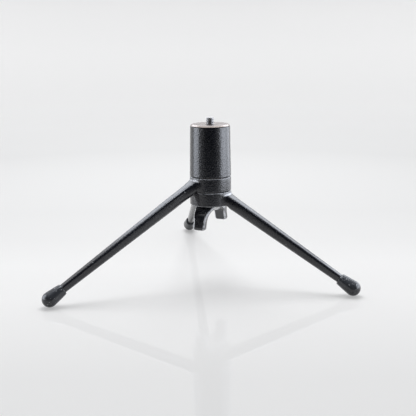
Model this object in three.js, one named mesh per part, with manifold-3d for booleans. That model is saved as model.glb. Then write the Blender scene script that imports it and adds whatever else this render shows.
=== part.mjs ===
// Folding table-top camera tripod, all metal, with a clamping wing nut.
// Millimetres, +Z up, feet on z = 0, fixed rear leg along +Y.
//
// The hub is a stack on one vertical axis: a column whose casting includes the rear leg, an upper
// collar whose casting includes one front leg, and a lower collar whose casting includes the other.
// The three legs slope alike and each collar is one pitch below the last, so the two front legs
// swing round and nest under the rear leg when the tripod folds flat.
// Threads are plain cylinders at their major diameter.

import * as THREE from "three";
import { mergeVertices } from "three/addons/utils/BufferGeometryUtils.js";
import Module from "manifold-3d";

const wasm = await Module();
wasm.setup();

// ---------------------------------------------------------------- driving dimensions

const FOOT_R = 6.0; // radius of a rubber foot's ball, which stands on the floor
const LEG_SLOPE = THREE.MathUtils.degToRad(30);
const LOWER_REACH = 122.4; // hub axis to the ball centre of the lower collar's leg
const COLLAR_PITCH = 11.8; // from one hub seam to the next
const SEAM_GAP = 0.3; // daylight between two castings of the hub
const HUB_BOTTOM = 63.5; // underside of the lower collar
const HUB_R = 17.0; // radius of the collars and of the column's foot
const COLUMN_TOP_R = 16.3; // the column tapers a little towards the top
const COLUMN_TOP = 128.2; // rim of the column casting
const PLATE_TOP = 129.4; // face that the camera sits on
const SCREW_TOP = 134.6; // tip of the camera screw
const CAMERA_THREAD_R = 3.175; // 1/4 inch camera thread
const ROD_R = 4.0; // M8 tension rod
const THREAD_PITCH = 1.25; // M8 coarse
const NUT_TRAVEL = 1.5 * THREAD_PITCH; // one and a half turns of the wing nut
const FIT = 0.3; // radial gap left round every piece that sits in another
const CHAMFER = 0.3; // on the edges of the hub's castings

// Directions of the three legs and of the wing nut, seen from above, in degrees from +X.
const REAR_AZIMUTH = 90;
const UPPER_AZIMUTH = 203.2;
const LOWER_AZIMUTH = 326.8;
const WING_AZIMUTH = 237.8;

// ---------------------------------------------------------------- worked-out heights and reaches

const HALF_GAP = SEAM_GAP / 2;
const LOW_SEAM = HUB_BOTTOM + COLLAR_PITCH;
const HIGH_SEAM = LOW_SEAM + COLLAR_PITCH;
const REACH_STEP = COLLAR_PITCH / Math.tan(LEG_SLOPE);
const UPPER_REACH = LOWER_REACH + REACH_STEP;
const REAR_REACH = UPPER_REACH + REACH_STEP;

// ---------------------------------------------------------------- leg section and root

const ROOT_HALF = { width: 4.95, height: 5.35 }; // D section where the leg leaves the hub
const TIP_HALF = { width: 3.15, height: 3.35 }; // D section where the rubber foot starts
const NEST_HALF_HEIGHT = 5.0; // the taller part of the root is held to this, to nest when folded
const CORNER = 0.2; // top corner radius as a share of the half width
const ROOT_START = 9; // radius at which the leg starts, inside the hub
const FLARE = { width: 3.6, from: 14.5, to: 30 }; // widening in plan towards the hub
const SLOT_R = HUB_R + 0.35; // radius kept clear for the collar that turns below a root
const NEST_GAP = 0.08; // daylight kept between a leg's top and the leg that swings over it
const NEST_END = 60; // radius beyond which the slimmer legs clear each other anyway
const RELIEF = 1.6; // size of the fillet at a leg's root and of the relief that clears it

// ---------------------------------------------------------------- rubber foot

const FOOT_LENGTH = 12.5; // ball centre to the mouth of the cap
const FOOT_MOUTH_R = 4.6;
const SPIGOT_R = 2.8; // round end of the leg inside the cap
const SPIGOT_END = 1.0; // spigot stops this far short of the ball centre
const FOOT_FLOOR = 0.4; // and the cap's bore this far short of it

// ---------------------------------------------------------------- helpers

const paints = {
  enamel: new THREE.MeshStandardMaterial({ color: 0x17191c, roughness: 0.32, metalness: 0.2 }),
  nutEnamel: new THREE.MeshStandardMaterial({ color: 0x121315, roughness: 0.18, metalness: 0.2 }),
  aluminium: new THREE.MeshStandardMaterial({ color: 0xc9c4bc, roughness: 0.3, metalness: 1 }),
  steel: new THREE.MeshStandardMaterial({ color: 0xb9bbbe, roughness: 0.28, metalness: 1 }),
  brass: new THREE.MeshStandardMaterial({ color: 0xb5924c, roughness: 0.35, metalness: 1 }),
  fibre: new THREE.MeshStandardMaterial({ color: 0x6b4a35, roughness: 0.85, metalness: 0 }),
  rubber: new THREE.MeshStandardMaterial({ color: 0x1b1b1d, roughness: 0.55, metalness: 0 }),
};

function solid(geometry) {
  geometry.deleteAttribute("normal");
  geometry.deleteAttribute("uv");
  const merged = mergeVertices(geometry, 1e-4);
  return new wasm.Manifold(
    new wasm.Mesh({
      numProp: 3,
      vertProperties: new Float32Array(merged.attributes.position.array),
      triVerts: new Uint32Array(merged.index.array),
    }),
  );
}

function mesh(name, body, material) {
  const data = body.getMesh();
  const geometry = new THREE.BufferGeometry();
  geometry.setAttribute("position", new THREE.BufferAttribute(new Float32Array(data.vertProperties), 3));
  geometry.setIndex(new THREE.BufferAttribute(new Uint32Array(data.triVerts), 1));
  geometry.computeVertexNormals();
  const piece = new THREE.Mesh(geometry, material);
  piece.name = name;
  return piece;
}

// A body of revolution about the hub axis. The outline is a list of [radius, height] corners in
// order up the outside; it closes on itself, or on the axis when it starts and ends there.
function turned(outline, segments = 40) {
  const points = outline.map(([r, z]) => new THREE.Vector2(r, z));
  points.push(points[0].clone());
  const geometry = new THREE.LatheGeometry(points, segments);
  geometry.rotateX(Math.PI / 2);
  return solid(geometry);
}

function disc(radius, bottom, top, segments = 40) {
  return turned([[0, bottom], [radius, bottom], [radius, top], [0, top]], segments);
}

function ring(inner, outer, bottom, top, segments = 40) {
  return turned([[inner, bottom], [outer, bottom], [outer, top], [inner, top]], segments);
}

function lerp(from, to, share) {
  return from + (to - from) * share;
}

// Falls from 1 at `from` to 0 at `to` and levels out there.
function fade(value, { from, to }) {
  const share = THREE.MathUtils.clamp((value - from) / (to - from), 0, 1);
  return (1 - share) ** 2;
}

// ---------------------------------------------------------------- legs
// Each leg is modelled pointing along +X from the hub axis; its group turns it to its azimuth.

// A leg's own axes: X across it, Y up and square to it, Z down along it. The origin is the point
// where its centreline meets the hub axis.
function legFrame(reach) {
  const across = new THREE.Vector3(0, 1, 0);
  const upward = new THREE.Vector3(Math.sin(LEG_SLOPE), 0, Math.cos(LEG_SLOPE));
  const along = new THREE.Vector3(Math.cos(LEG_SLOPE), 0, -Math.sin(LEG_SLOPE));
  const frame = new THREE.Matrix4().makeBasis(across, upward, along);
  return frame.setPosition(0, 0, FOOT_R + reach * Math.tan(LEG_SLOPE));
}

// Flat top with rounded corners, straight sides and a half-round belly, 2 wide and 2 high.
function legSection() {
  const shape = new THREE.Shape();
  shape.absarc(0, 0, 1, Math.PI, 2 * Math.PI, false);
  shape.lineTo(1, 1 - CORNER);
  shape.quadraticCurveTo(1, 1, 1 - CORNER, 1);
  shape.lineTo(CORNER - 1, 1);
  shape.quadraticCurveTo(-1, 1, -1, 1 - CORNER);
  return shape;
}

function legBar(reach) {
  const start = ROOT_START / Math.cos(LEG_SLOPE);
  const end = reach / Math.cos(LEG_SLOPE) - FOOT_LENGTH - HALF_GAP;
  const geometry = new THREE.ExtrudeGeometry(legSection(), {
    depth: end - start,
    steps: 24,
    curveSegments: 5,
    bevelEnabled: false,
  });
  const position = geometry.attributes.position;
  const rootAlong = HUB_R / Math.cos(LEG_SLOPE);
  for (let i = 0; i < position.count; i += 1) {
    // Sections crowd towards the root, where the shape changes most.
    const share = position.getZ(i) / (end - start);
    const along = lerp(start, end, share ** 1.9);
    const taper = (along - rootAlong) / (end - rootAlong);
    const halfHeight = Math.min(NEST_HALF_HEIGHT, lerp(ROOT_HALF.height, TIP_HALF.height, taper));
    const across = position.getX(i);
    const upward = position.getY(i) * halfHeight;
    const radius = along * Math.cos(LEG_SLOPE) + upward * Math.sin(LEG_SLOPE);
    const halfWidth = lerp(ROOT_HALF.width, TIP_HALF.width, taper) + FLARE.width * fade(radius, FLARE);
    position.setXYZ(i, across * halfWidth, upward, along);
  }
  return solid(geometry.applyMatrix4(legFrame(reach)));
}

// The round end of the leg that the rubber foot is pushed over.
function legSpigot(reach) {
  const foot = reach / Math.cos(LEG_SLOPE);
  const start = foot - FOOT_LENGTH - 2;
  const end = foot - SPIGOT_END;
  const geometry = new THREE.CylinderGeometry(SPIGOT_R, SPIGOT_R, end - start, 20);
  geometry.rotateX(Math.PI / 2);
  geometry.translate(0, 0, (start + end) / 2);
  return solid(geometry.applyMatrix4(legFrame(reach)));
}

function leg(reach) {
  return legBar(reach).add(legSpigot(reach));
}

// Height, at a radius from the hub axis, of the cone that the belly of a leg sweeps over.
function bellyCone(reach, radius) {
  const drop = (reach - radius) * Math.tan(LEG_SLOPE);
  return FOOT_R + drop - NEST_HALF_HEIGHT / Math.cos(LEG_SLOPE);
}

// The room that the hub pieces below a leg turn in, with a relief for their root fillets.
function turningRoom(height, reach) {
  const outer = SLOT_R + RELIEF;
  return turned([
    [0, 0], [outer, 0], [outer, bellyCone(reach, outer)], [SLOT_R, bellyCone(reach, SLOT_R) + RELIEF],
    [SLOT_R, height], [0, height],
  ], 64);
}

// The room that the leg above sweeps as it swings over a leg, taken off the top of its root.
function nestingRoom(reach) {
  const above = reach + REACH_STEP;
  return turned([
    [HUB_R, bellyCone(above, HUB_R) - NEST_GAP], [NEST_END, bellyCone(above, NEST_END) - NEST_GAP],
    [NEST_END, 3 * HUB_BOTTOM], [HUB_R, 3 * HUB_BOTTOM],
  ], 64);
}

// Fillet between the top of a leg and the wall of its collar, as wide as the leg is there.
function rootFillet(reach) {
  const low = bellyCone(reach + REACH_STEP, HUB_R) - NEST_GAP;
  const fillet = turned([
    [HUB_R - 2, low - 3], [HUB_R + RELIEF, low - 3], [HUB_R + RELIEF, low - RELIEF * Math.tan(LEG_SLOPE)],
    [HUB_R + 0.25 * RELIEF, low + 0.3 * RELIEF], [HUB_R, low + RELIEF], [HUB_R - 2, low + RELIEF],
  ], 64);
  return fillet.intersect(legBar(reach).translate([0, 0, RELIEF]));
}

// A bullet-shaped rubber cap, open at its mouth, with a full ball at its end.
function footCap(reach) {
  const outline = [];
  const outerSteps = 5;
  const ballSteps = 7;
  const tangent = Math.asin((FOOT_R - FOOT_MOUTH_R) / FOOT_LENGTH);
  const shoulder = new THREE.Vector2(FOOT_R * Math.cos(tangent), -FOOT_R * Math.sin(tangent));
  for (let i = 0; i < outerSteps; i += 1) {
    const share = i / outerSteps;
    const bulge = 0.12 * Math.sin(share * Math.PI);
    outline.push([lerp(FOOT_MOUTH_R, shoulder.x, share) + bulge, lerp(-FOOT_LENGTH, shoulder.y, share)]);
  }
  for (let i = 0; i <= ballSteps; i += 1) {
    const angle = lerp(-tangent, Math.PI / 2, i / ballSteps);
    outline.push([FOOT_R * Math.cos(angle), FOOT_R * Math.sin(angle)]);
  }
  outline[outline.length - 1][0] = 0;
  outline.push([0, -FOOT_FLOOR]);
  outline.push([SPIGOT_R + FIT, -FOOT_FLOOR]);
  outline.push([SPIGOT_R + FIT, -FOOT_LENGTH]);
  const points = outline.map(([r, z]) => new THREE.Vector2(r, z));
  points.push(points[0].clone());
  const geometry = new THREE.LatheGeometry(points, 24);
  geometry.rotateX(Math.PI / 2);
  geometry.translate(0, 0, reach / Math.cos(LEG_SLOPE));
  return solid(geometry.applyMatrix4(legFrame(reach)));
}

// ---------------------------------------------------------------- hub castings

const BUSH_R = 6.0; // outer radius of the brass bushes
const DISC_R = 13.0; // outer radius of the friction discs
const RECESS = 0.6; // depth of the recess that each disc sits in, on both sides of a seam
const COLUMN_BORE_R = 12.8;
const COLUMN_FLOOR = 96.0; // top of the web that the rod hangs from
const KEY_GROOVE = { width: 3.2, depth: 3.0, length: 23 };

function columnCasting() {
  const foot = HIGH_SEAM + HALF_GAP;
  const body = turned([
    [0, foot], [HUB_R - CHAMFER, foot], [HUB_R, foot + CHAMFER],
    [COLUMN_TOP_R, COLUMN_TOP - CHAMFER], [COLUMN_TOP_R - CHAMFER, COLUMN_TOP], [0, COLUMN_TOP],
  ], 64);
  const groove = new THREE.BoxGeometry(KEY_GROOVE.length, KEY_GROOVE.width, KEY_GROOVE.depth + 1);
  groove.translate(0, 0, COLUMN_FLOOR - KEY_GROOVE.depth / 2 + 0.5);
  return body
    .add(leg(REAR_REACH))
    .subtract(disc(COLUMN_BORE_R, COLUMN_FLOOR, COLUMN_TOP + 1))
    .subtract(disc(ROD_R + FIT, foot - 1, COLUMN_FLOOR + 1, 24))
    .subtract(solid(groove))
    .subtract(disc(DISC_R + FIT, foot - 1, foot + RECESS))
    .subtract(turningRoom(foot, REAR_REACH));
}

// A collar between two seams with its leg. `floorRecess` is the depth of the recess below.
function collarCasting(bottomSeam, reach, floorRecess) {
  const bottom = bottomSeam + HALF_GAP;
  const top = bottomSeam + COLLAR_PITCH - HALF_GAP;
  const body = turned([
    [0, bottom], [HUB_R - CHAMFER, bottom], [HUB_R, bottom + CHAMFER],
    [HUB_R, top - CHAMFER], [HUB_R - CHAMFER, top], [0, top],
  ], 64);
  return body
    .add(leg(reach).subtract(nestingRoom(reach)))
    .add(rootFillet(reach))
    .subtract(disc(3 * HUB_R, top, top + 3 * HUB_R))
    .subtract(turningRoom(bottom, reach))
    .subtract(disc(BUSH_R + FIT, bottom - 1, top + 1, 32))
    .subtract(disc(DISC_R + FIT, top - RECESS, top + 1))
    .subtract(disc(DISC_R + FIT, bottom - 1, bottom + floorRecess));
}

// ---------------------------------------------------------------- clamp

const LAY = 0.05; // clearance between pieces that lie on each other
const THRUST = { radius: 13.0, thickness: 1.3, recess: 2.1 };
const SPRING = { radius: 10.5, thickness: 0.6, dish: 0.45 };
const NUT_TOP = HUB_BOTTOM - 0.3;
const NUT_UNDERSIDE = 59.2;
const NUT_BOSS = { radius: 7.2, bottom: 58.9 };
const INSERT_R = 6.2;
const INSERT_NECK_R = 5.6; // passes up through the washers into the lower collar
const INSERT_TOP = HUB_BOTTOM + 4.5;
const ROD_END = 60.4;
const ROD_TOP = 106;
const STOP = { radius: 4.8, thickness: 1.5, shank: 1.8, depth: 8 }; // keeps the wing nut on
const WING = {
  inner: 18.6, outer: 24.6, waist: 22.4, tip: 44.7, // seen from the side
  halfWidth: 4.0, corner: 2.8, widensFrom: 51, rootHalfWidth: 7.2, // seen end on
};

// The wing nut seen from the side, from the axis out: a bar bent down at its end.
function wingSide() {
  const { inner, outer, waist, tip } = WING;
  const shape = new THREE.Shape();
  shape.moveTo(-2, NUT_TOP);
  shape.lineTo(9, NUT_TOP);
  shape.bezierCurveTo(13.5, NUT_TOP, waist - 2, NUT_UNDERSIDE - 0.6, waist, NUT_UNDERSIDE - 3.5);
  shape.lineTo(outer, tip + 3.5);
  shape.bezierCurveTo(outer + 0.5, tip + 0.6, outer - 1.4, tip, outer - 2.8, tip);
  shape.bezierCurveTo(inner + 0.6, tip, inner + 0.2, tip + 1, inner + 0.1, tip + 3);
  shape.lineTo(inner - 1.2, NUT_UNDERSIDE - 7.5);
  shape.bezierCurveTo(inner - 1.8, NUT_UNDERSIDE - 3.7, inner - 4.4, NUT_UNDERSIDE, 8, NUT_UNDERSIDE);
  shape.lineTo(-2, NUT_UNDERSIDE);
  return shape;
}

// The same wing seen end on: a tongue with a rounded tip, widening towards the boss.
function wingFront() {
  const { tip, halfWidth, corner, widensFrom, rootHalfWidth } = WING;
  const middle = lerp(widensFrom, NUT_TOP, 0.6);
  const shape = new THREE.Shape();
  shape.moveTo(-rootHalfWidth, NUT_TOP + 1);
  shape.quadraticCurveTo(-halfWidth, middle, -halfWidth, widensFrom);
  shape.lineTo(-halfWidth, tip + corner);
  shape.quadraticCurveTo(-halfWidth, tip, corner - halfWidth, tip);
  shape.lineTo(halfWidth - corner, tip);
  shape.quadraticCurveTo(halfWidth, tip, halfWidth, tip + corner);
  shape.lineTo(halfWidth, widensFrom);
  shape.quadraticCurveTo(halfWidth, middle, rootHalfWidth, NUT_TOP + 1);
  return shape;
}

function wing() {
  const width = 2 * WING.rootHalfWidth + 2;
  const length = 40;
  const side = new THREE.ExtrudeGeometry(wingSide(), { depth: width, curveSegments: 6, bevelEnabled: false });
  side.translate(0, 0, -width / 2);
  side.rotateX(Math.PI / 2);
  const front = new THREE.ExtrudeGeometry(wingFront(), { depth: length, curveSegments: 4, bevelEnabled: false });
  front.translate(0, 0, -4);
  front.rotateX(Math.PI / 2);
  front.rotateZ(Math.PI / 2);
  return solid(side).intersect(solid(front));
}

function wingNut() {
  const { radius, bottom } = NUT_BOSS;
  const boss = turned([
    [0, bottom], [radius - 0.5, bottom], [radius, bottom + 0.5], [radius, NUT_TOP], [0, NUT_TOP],
  ]);
  return boss
    .add(wing())
    .add(wing().rotate([0, 0, 180]))
    .subtract(disc(INSERT_R + FIT, NUT_BOSS.bottom - 1, NUT_TOP + 1, 32));
}

// Threaded steel insert of the wing nut, bored out below its thread to clear the stop screw.
function wingNutInsert() {
  const bottom = NUT_BOSS.bottom + 0.1;
  const bore = ROD_R + FIT;
  const shoulder = ROD_END + NUT_TRAVEL + 0.15;
  return turned([
    [STOP.radius + FIT, bottom], [INSERT_R, bottom], [INSERT_R, NUT_TOP], [INSERT_NECK_R, NUT_TOP],
    [INSERT_NECK_R, INSERT_TOP], [bore, INSERT_TOP], [bore, shoulder], [STOP.radius + FIT, shoulder],
  ], 32);
}

function thrustWasher() {
  const top = HUB_BOTTOM + HALF_GAP + THRUST.recess - LAY;
  return ring(INSERT_NECK_R + FIT, THRUST.radius, top - THRUST.thickness, top);
}

function springWasher() {
  const { radius, thickness, dish } = SPRING;
  const bottom = NUT_TOP + LAY;
  const inner = INSERT_NECK_R + FIT;
  return turned([
    [inner, bottom + dish], [radius, bottom],
    [radius, bottom + thickness], [inner, bottom + dish + thickness],
  ], 32);
}

// A pin or hole along +X through the hub axis at the height of the key groove.
function keyBar(radius, length) {
  const geometry = new THREE.CylinderGeometry(radius, radius, length, 16);
  geometry.rotateZ(Math.PI / 2);
  geometry.translate(0, 0, COLUMN_FLOOR - KEY_GROOVE.depth / 2);
  return solid(geometry);
}

const KEY_R = 1.25;

function tensionRod() {
  const chamfer = 0.6;
  const body = turned([
    [0, ROD_END], [ROD_R - chamfer, ROD_END], [ROD_R, ROD_END + chamfer],
    [ROD_R, ROD_TOP - chamfer], [ROD_R - chamfer, ROD_TOP], [0, ROD_TOP],
  ], 24);
  return body
    .subtract(keyBar(KEY_R + FIT, 4 * ROD_R))
    .subtract(disc(STOP.shank + FIT, ROD_END - 1, ROD_END + STOP.depth, 16));
}

function stopScrew() {
  const top = ROD_END - LAY;
  const bottom = top - STOP.thickness;
  const slot = new THREE.BoxGeometry(3 * STOP.radius, 1, 1.2);
  slot.translate(0, 0, bottom);
  const screw = turned([
    [0, bottom], [STOP.radius - 0.4, bottom], [STOP.radius, bottom + 0.4], [STOP.radius, top],
    [STOP.shank, top], [STOP.shank, ROD_END + STOP.depth - 1], [0, ROD_END + STOP.depth - 1],
  ], 24);
  return screw.subtract(solid(slot));
}

const ROD_WASHER = { radius: 8.5, thickness: 1.6 };
const ROD_NUT = { acrossFlats: 13, height: 6.5 };

function rodWasher() {
  const bottom = COLUMN_FLOOR + LAY;
  return ring(ROD_R + FIT, ROD_WASHER.radius, bottom, bottom + ROD_WASHER.thickness, 32);
}

function rodNut() {
  const bottom = COLUMN_FLOOR + ROD_WASHER.thickness + 2 * LAY;
  const cornerR = ROD_NUT.acrossFlats / 2 / Math.cos(Math.PI / 6);
  return ring(ROD_R + FIT, cornerR, bottom, bottom + ROD_NUT.height, 6)
    .add(ring(ROD_R + FIT, ROD_R + 2 * FIT, bottom, bottom + ROD_NUT.height, 24))
    .subtract(disc(ROD_R + FIT, bottom - 1, bottom + ROD_NUT.height + 1, 24));
}

// ---------------------------------------------------------------- column top

const SPIGOT = { radius: 12.5, bottom: 121 }; // of the top plate, inside the column
const FLANGE = { radius: 6.2, bottom: 123.3, top: 125.5 }; // of the camera screw
const PLATE_FLAT_R = 14.7; // outside it the plate is bevelled down to the column's rim

function topPlate() {
  const hole = CAMERA_THREAD_R + FIT;
  const rim = COLUMN_TOP + LAY;
  return turned([
    [hole, FLANGE.top + LAY], [FLANGE.radius + FIT, FLANGE.top + LAY], [FLANGE.radius + FIT, SPIGOT.bottom],
    [SPIGOT.radius, SPIGOT.bottom], [SPIGOT.radius, rim], [COLUMN_TOP_R - 0.05, rim],
    [PLATE_FLAT_R, PLATE_TOP], [hole + 0.4, PLATE_TOP], [hole, PLATE_TOP - 0.4],
  ], 64);
}

function cameraScrew() {
  const chamfer = 0.8;
  return turned([
    [0, FLANGE.bottom], [FLANGE.radius, FLANGE.bottom], [FLANGE.radius, FLANGE.top],
    [CAMERA_THREAD_R, FLANGE.top], [CAMERA_THREAD_R, SCREW_TOP - chamfer],
    [CAMERA_THREAD_R - chamfer, SCREW_TOP], [0, SCREW_TOP],
  ], 24);
}

// Ring nut under the camera screw's flange, with two holes for a pin spanner.
function screwRetainer() {
  const top = FLANGE.bottom - LAY;
  const holeAt = 4.6;
  let body = ring(3, FLANGE.radius, SPIGOT.bottom + LAY, top, 32);
  for (const side of [-1, 1]) {
    const hole = new THREE.CylinderGeometry(0.7, 0.7, 10, 12);
    hole.rotateX(Math.PI / 2);
    hole.translate(side * holeAt, 0, top);
    body = body.subtract(solid(hole));
  }
  return body;
}

function frictionDisc(seam) {
  const reachIn = HALF_GAP + RECESS - LAY;
  return ring(BUSH_R + 2 * FIT, DISC_R, seam - reachIn, seam + reachIn);
}

function collarBush(bottom, top) {
  return ring(ROD_R + FIT, BUSH_R, bottom + FIT, top - FIT, 32);
}

// ---------------------------------------------------------------- assembly

function turnedGroup(azimuth, pieces) {
  const group = new THREE.Group();
  group.rotation.z = THREE.MathUtils.degToRad(azimuth);
  group.add(...pieces);
  return group;
}

const column = turnedGroup(REAR_AZIMUTH, [
  mesh("column_casting", columnCasting(), paints.enamel),
  mesh("rear_foot", footCap(REAR_REACH), paints.rubber),
  mesh("top_plate", topPlate(), paints.aluminium),
  mesh("camera_screw", cameraScrew(), paints.steel),
  mesh("screw_retainer", screwRetainer(), paints.steel),
  mesh("tension_rod", tensionRod(), paints.steel),
  mesh("rod_key_pin", keyBar(KEY_R, KEY_GROOVE.length - 1), paints.steel),
  mesh("rod_washer", rodWasher(), paints.steel),
  mesh("rod_nut", rodNut(), paints.steel),
  mesh("nut_stop_screw", stopScrew(), paints.steel),
  mesh("upper_friction_disc", frictionDisc(HIGH_SEAM), paints.fibre),
]);

const upperLeg = turnedGroup(UPPER_AZIMUTH, [
  mesh("upper_leg_casting", collarCasting(LOW_SEAM, UPPER_REACH, RECESS), paints.enamel),
  mesh("upper_leg_foot", footCap(UPPER_REACH), paints.rubber),
  mesh("upper_collar_bush", collarBush(LOW_SEAM, HIGH_SEAM), paints.brass),
  mesh("lower_friction_disc", frictionDisc(LOW_SEAM), paints.fibre),
]);

const lowerLeg = turnedGroup(LOWER_AZIMUTH, [
  mesh("lower_leg_casting", collarCasting(HUB_BOTTOM, LOWER_REACH, THRUST.recess), paints.enamel),
  mesh("lower_leg_foot", footCap(LOWER_REACH), paints.rubber),
  mesh("lower_collar_bush", collarBush(INSERT_TOP, LOW_SEAM), paints.brass),
]);

const clamp = turnedGroup(WING_AZIMUTH, [
  mesh("thrust_washer", thrustWasher(), paints.steel),
  mesh("spring_washer", springWasher(), paints.steel),
  mesh("wing_nut", wingNut(), paints.nutEnamel),
  mesh("wing_nut_insert", wingNutInsert(), paints.steel),
]);

const tripod = new THREE.Group();
tripod.add(column, upperLeg, lowerLeg, clamp);

// The origin is on the floor, under the middle of the whole tripod.
const bounds = new THREE.Box3().setFromObject(tripod, true);
const middle = bounds.getCenter(new THREE.Vector3());
tripod.position.set(-middle.x, -middle.y, -bounds.min.z);

export default tripod;
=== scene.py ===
"""Looks of the folding table-top tripod: smooth cast and turned pieces round the CAD frame.

Shapes are written in millimetres about the hub axis, with the floor at z = 0, and placed in the
row frame by place(). Castings are distance fields turned into quads, the rest is swept or turned.
"""

import math

import bpy
import numpy as np
import openvdb
from mathutils import Matrix, Vector


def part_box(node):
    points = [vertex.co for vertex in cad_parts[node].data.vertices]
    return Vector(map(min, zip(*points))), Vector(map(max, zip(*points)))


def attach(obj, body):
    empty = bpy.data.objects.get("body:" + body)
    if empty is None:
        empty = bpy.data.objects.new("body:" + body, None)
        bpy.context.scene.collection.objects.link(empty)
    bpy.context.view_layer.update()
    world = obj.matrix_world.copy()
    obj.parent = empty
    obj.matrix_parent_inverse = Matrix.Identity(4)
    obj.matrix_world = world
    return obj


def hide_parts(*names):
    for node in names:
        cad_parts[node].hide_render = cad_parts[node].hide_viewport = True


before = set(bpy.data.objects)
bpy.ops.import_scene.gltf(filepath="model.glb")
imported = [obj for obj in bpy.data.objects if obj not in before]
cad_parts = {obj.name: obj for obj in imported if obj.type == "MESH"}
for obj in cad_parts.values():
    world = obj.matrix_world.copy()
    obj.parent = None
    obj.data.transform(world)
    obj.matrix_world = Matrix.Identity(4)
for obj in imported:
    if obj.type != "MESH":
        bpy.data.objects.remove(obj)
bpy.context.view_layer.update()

# ---------------------------------------------------------------- dimensions, as in part.mjs

FOOT_R = 6.0
LEG_SLOPE = math.radians(30)
COS, SIN, TAN = math.cos(LEG_SLOPE), math.sin(LEG_SLOPE), math.tan(LEG_SLOPE)
LOWER_REACH = 122.4
PITCH = 11.8
HALF_GAP = 0.15
HUB_BOTTOM = 63.5
LOW_SEAM = HUB_BOTTOM + PITCH
HIGH_SEAM = LOW_SEAM + PITCH
HUB_R = 17.0
COLUMN_TOP_R = 16.3
COLUMN_TOP = 128.2
PLATE_TOP = 129.4
SCREW_TOP = 134.6
UPPER_REACH = LOWER_REACH + PITCH / TAN
REAR_REACH = UPPER_REACH + PITCH / TAN
REAR_AZIMUTH, UPPER_AZIMUTH, LOWER_AZIMUTH, WING_AZIMUTH = 90.0, 203.2, 326.8, 237.8

# A leg's half width and half height at the hub and at the foot, and its widening at the hub.
ROOT_HALF = (4.95, 5.35)
TIP_HALF = (3.15, 3.35)
NEST_HALF_HEIGHT = 5.0
FLARE_WIDTH, FLARE_FROM, FLARE_TO = 3.6, 14.5, 30.0
LEG_START_R = 9.0
# Shares of the half width (corner, draft) and millimetres (crown, end rounding).
LEG_CORNER, LEG_DRAFT = 0.42, 0.11
LEG_CROWN, LEG_END_EDGE = 0.07, 0.35

# How the castings clear and meet each other.
SLOT_R = HUB_R + 0.35
NEST_GAP, NEST_EDGE, NEST_END = 0.08, 0.5, 60.0
FILLET, RELIEF = 2.3, 2.5
LOWER_EDGE, UPPER_EDGE, ROOT_EDGE = 0.3, 0.95, 1.0

FOOT_LENGTH = 12.5
FOOT_MOUTH_R = 4.6
SPIGOT_R = 2.8
FOOT_BORE = SPIGOT_R + 0.3

MM = 0.001
rod_low, rod_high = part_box("tension_rod")
ORIGIN = Vector((
    (rod_low.x + rod_high.x) / 2,
    (rod_low.y + rod_high.y) / 2,
    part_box("camera_screw")[1].z - SCREW_TOP * MM,
))


def place(points):
    """Points in millimetres about the hub axis, as row-frame metres."""
    return np.asarray(points, float) * MM + np.array(ORIGIN)


def turn(points, degrees):
    """Points turned about the hub axis."""
    angle = math.radians(degrees)
    c, s = math.cos(angle), math.sin(angle)
    x, y, z = np.asarray(points, float).T
    return np.stack([x * c - y * s, x * s + y * c, z], axis=1)


# ---------------------------------------------------------------- distance fields, in millimetres


def round_union(a, b, radius):
    """Union with a concave fillet of that radius."""
    u = np.maximum(radius - a, 0)
    v = np.maximum(radius - b, 0)
    return np.maximum(radius, np.minimum(a, b)) - np.hypot(u, v)


def round_common(a, b, radius):
    """Intersection with its edge rounded to that radius."""
    u = np.maximum(radius + a, 0)
    v = np.maximum(radius + b, 0)
    return np.minimum(-radius, np.maximum(a, b)) + np.hypot(u, v)


def belly_cone(reach, radius):
    """Height of the cone that the belly of a leg of that reach sweeps over, at a radius."""
    return FOOT_R + (reach - radius) * TAN - NEST_HALF_HEIGHT / COS


def leg_field(points, reach):
    """A leg along +X: a nearly flat top, sides with a little draft and a half-round belly."""
    x, y, z = points.T
    drop = z - FOOT_R - reach * TAN
    along = x * COS - drop * SIN
    up = x * SIN + drop * COS
    start = HUB_R / COS
    end = reach / COS - FOOT_LENGTH - HALF_GAP
    taper = (along - start) / (end - start)
    height = np.minimum(NEST_HALF_HEIGHT, ROOT_HALF[1] + (TIP_HALF[1] - ROOT_HALF[1]) * taper)
    radius = np.hypot(x, y)
    share = np.clip((radius - FLARE_FROM) / (FLARE_TO - FLARE_FROM), 0, 1)
    width = ROOT_HALF[0] + (TIP_HALF[0] - ROOT_HALF[0]) * taper + FLARE_WIDTH * (1 - share) ** 2
    side = np.abs(y)
    corner = LEG_CORNER * width
    crowned = height - LEG_CROWN * (side / width) ** 2
    drafted = width * (1 - LEG_DRAFT * np.clip(up / height, 0, 1.2) ** 2)
    qx, qy = side - drafted + corner, up - crowned + corner
    outside = np.hypot(np.maximum(qx, 0), np.maximum(qy, 0))
    top = outside + np.minimum(np.maximum(qx, qy), 0) - corner
    sx, sy = side / width, up / height
    k0 = np.hypot(sx, sy) + 1e-6
    k1 = np.hypot(sx / width, sy / height) + 1e-6
    belly = k0 * (k0 - 1) / k1
    section = np.where(up > 0, top, belly)
    section = round_common(section, along - end, LEG_END_EDGE)
    return np.maximum(section, LEG_START_R / COS - along)


def drum_field(points, bottom, top, low_r, high_r):
    """An upright drum that may taper, with a fine lower edge and a broader upper one."""
    x, y, z = points.T
    wall = low_r + (high_r - low_r) * np.clip((z - bottom) / (top - bottom), 0, 1)
    drum = round_common(np.hypot(x, y) - wall, bottom - z, LOWER_EDGE)
    return round_common(drum, z - top, UPPER_EDGE)


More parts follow.
